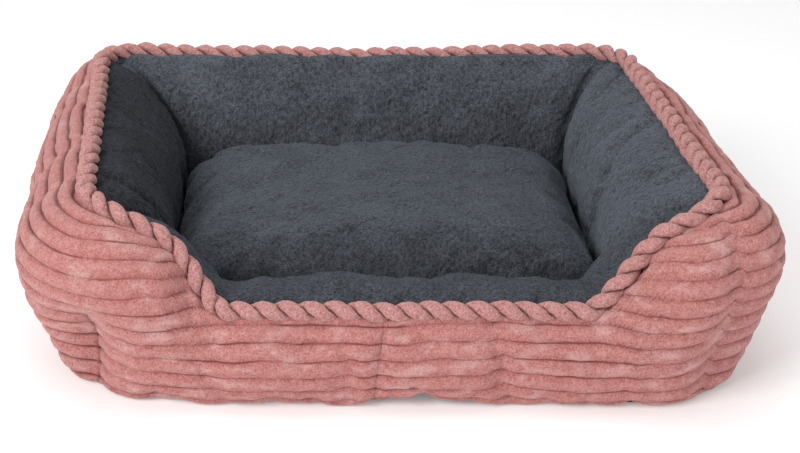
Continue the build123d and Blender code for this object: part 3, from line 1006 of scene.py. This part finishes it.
def base(sizes):
    """The underside, and the plush on the nest's floor."""
    low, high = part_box("base_panel")
    a, b = np.meshgrid(np.linspace(-1, 1, 140), np.linspace(1, -1, 100))
    angle = np.arctan2(b * RIM_Y, a * RIM_X)
    reach = np.maximum(np.abs(a), np.abs(b))
    radius = reach * hem_radius(angle)
    x, y = radius * np.cos(angle), radius * np.sin(angle)
    z = high[2] + smoothstep((reach - 0.85) / 0.13) * sole_lift(x, y)
    mesh = sheet_mesh("base_panel", np.stack([x, y, z], -1))
    mesh.materials.append(base_cloth())
    piece = place_object("base_panel_cloth", mesh, "bed", ["base_panel"])
    thicken(piece, high[2] - low[2])
    flat = (x.max() - x.min(), y.max() - y.min())
    low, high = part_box("floor_lining")
    x, y = np.meshgrid(np.linspace(-high[0], high[0], 130), np.linspace(high[1], -high[1], 90))
    x, y = round_corners(x, y, high[0], high[1], 20 * MM)
    z = high[2] - 0.6 * MM + 0.5 * MM * wander(x, y, 0.07, 3.0)
    mesh = sheet_mesh("floor_lining", np.stack([x, y, z], -1))
    mesh.materials.append(short_plush("floor_plush", tuple(sizes.slate), 0.45))
    piece = place_object("floor_lining_cloth", mesh, "bed", ["floor_lining"])
    thicken(piece, 2.4 * MM)


def stage():
    """The floor, the lights and the camera."""
    mesh = bpy.data.meshes.new("floor")
    bm = bmesh.new()
    bmesh.ops.create_grid(bm, x_segments=1, y_segments=1, size=20.0)
    bm.to_mesh(mesh)
    bm.free()
    mesh.materials.append(pale_floor())
    new_object("floor", mesh)

    world = bpy.data.worlds.new("studio")
    bpy.context.scene.world = world
    world.use_nodes = True
    background = world.node_tree.nodes["Background"]
    background.inputs["Color"].default_value = (1.0, 1.0, 1.0, 1.0)
    background.inputs["Strength"].default_value = 0.46

    # each lamp's place, width and power
    lamps = {"key": ((-1.65, -1.65, 1.7), 1.3, 47.0),
             "top": ((-0.1, 0.3, 2.6), 2.2, 22.0),
             "fill": ((2.0, -1.5, 0.8), 1.6, 12.0)}
    aim = Vector((0, 0, 0.05))
    for name, (place, size, power) in lamps.items():
        light = bpy.data.lights.new(name, "AREA")
        light.shape, light.size, light.energy = "DISK", size, power
        lamp = new_object(name, light)
        lamp.location = place
        lamp.rotation_euler = (aim - Vector(place)).to_track_quat("-Z", "Y").to_euler()

    camera = bpy.data.cameras.new("camera")
    camera.sensor_width = 36.0
    camera.lens = 70.1
    camera.shift_x = 0.0875
    camera.clip_end = 50
    seen = new_object("camera", camera)
    seen.location = CAMERA_AT
    seen.rotation_euler = (pi / 2 - CAMERA_DOWN, 0, 0)
    bpy.context.scene.camera = seen
    bpy.context.scene.view_settings.view_transform = "Standard"


# Add-on

class PetBedSizes(bpy.types.PropertyGroup):
    """What a user may change."""
    wale: bpy.props.FloatProperty(
        name="Wale", description="Width of one rib of the corduroy", default=17.4 * MM, unit="LENGTH")
    rib: bpy.props.FloatProperty(
        name="Rib height", description="Depth of the grooves between ribs", default=4.4 * MM, unit="LENGTH")
    rope: bpy.props.FloatProperty(
        name="Rope", description="Width of the twisted trim", default=19 * MM, unit="LENGTH")
    twist: bpy.props.FloatProperty(
        name="Twist", description="Length of one whole turn of the trim", default=45 * MM, unit="LENGTH")
    column: bpy.props.FloatProperty(
        name="Corduroy step", description="Mesh step along the corduroy", default=3.3 * MM, unit="LENGTH")
    plush_step: bpy.props.FloatProperty(
        name="Plush step", description="Mesh step of the plush", default=2.5 * MM, unit="LENGTH")
    spare_cloth: bpy.props.FloatProperty(
        name="Spare cloth", description="How much larger the corduroy is cut than its stuffing", default=0.02)
    pink: bpy.props.FloatVectorProperty(
        name="Pink", description="Corduroy and trim", subtype="COLOR", default=(0.53, 0.192, 0.178))
    slate: bpy.props.FloatVectorProperty(
        name="Slate", description="Lining and cushion plush", subtype="COLOR", default=(0.072, 0.078, 0.092))


class PETBED_OT_outer_panels(bpy.types.Operator):
    """Makes the corduroy outside panels"""
    bl_idname = "pet_bed.outer_panels"
    bl_label = "Outer panels"

    def execute(self, context):
        outer_panels(context.scene.pet_bed)
        return {"FINISHED"}


class PETBED_OT_linings(bpy.types.Operator):
    """Makes the plush linings of the bolsters"""
    bl_idname = "pet_bed.linings"
    bl_label = "Linings"

    def execute(self, context):
        linings(context.scene.pet_bed)
        return {"FINISHED"}


class PETBED_OT_rope(bpy.types.Operator):
    """Makes the two strands of the twisted trim"""
    bl_idname = "pet_bed.rope"
    bl_label = "Rope trim"

    def execute(self, context):
        rope_strands(context.scene.pet_bed)
        return {"FINISHED"}


class PETBED_OT_cushion(bpy.types.Operator):
    """Makes the loose cushion's covers"""
    bl_idname = "pet_bed.cushion"
    bl_label = "Cushion"

    def execute(self, context):
        cushion_covers(context.scene.pet_bed)
        return {"FINISHED"}


class PETBED_OT_stuffing(bpy.types.Operator):
    """Makes the fibre inside the bolsters and the cushion"""
    bl_idname = "pet_bed.stuffing"
    bl_label = "Stuffing"

    def execute(self, context):
        stuffing()
        return {"FINISHED"}


class PETBED_OT_base(bpy.types.Operator):
    """Makes the underside and the nest's floor"""
    bl_idname = "pet_bed.base"
    bl_label = "Base"

    def execute(self, context):
        base(context.scene.pet_bed)
        return {"FINISHED"}


class PETBED_OT_stage(bpy.types.Operator):
    """Makes the floor, the lights and the camera"""
    bl_idname = "pet_bed.stage"
    bl_label = "Stage"

    def execute(self, context):
        stage()
        return {"FINISHED"}


OPERATORS = (PETBED_OT_stage, PETBED_OT_outer_panels, PETBED_OT_linings, PETBED_OT_rope, PETBED_OT_cushion,
             PETBED_OT_stuffing, PETBED_OT_base)


class PETBED_PT_tools(bpy.types.Panel):
    """Lists the bed's sizes and the steps that build it"""
    bl_label = "Pet bed"
    bl_idname = "PETBED_PT_tools"
    bl_space_type = "VIEW_3D"
    bl_region_type = "UI"
    bl_category = "Pet bed"

    def draw(self, context):
        for name in PetBedSizes.__annotations__:
            self.layout.prop(context.scene.pet_bed, name)
        for operator in OPERATORS:
            self.layout.operator(operator.bl_idname)


CLASSES = (PetBedSizes, *OPERATORS, PETBED_PT_tools)


def register():
    for item in CLASSES:
        bpy.utils.register_class(item)
    bpy.types.Scene.pet_bed = bpy.props.PointerProperty(type=PetBedSizes)


def unregister():
    del bpy.types.Scene.pet_bed
    for item in reversed(CLASSES):
        bpy.utils.unregister_class(item)


def main():
    register()
    for operator in OPERATORS:
        group, name = operator.bl_idname.split(".")
        getattr(getattr(bpy.ops, group), name)()


if __name__ == "__main__":
    main()
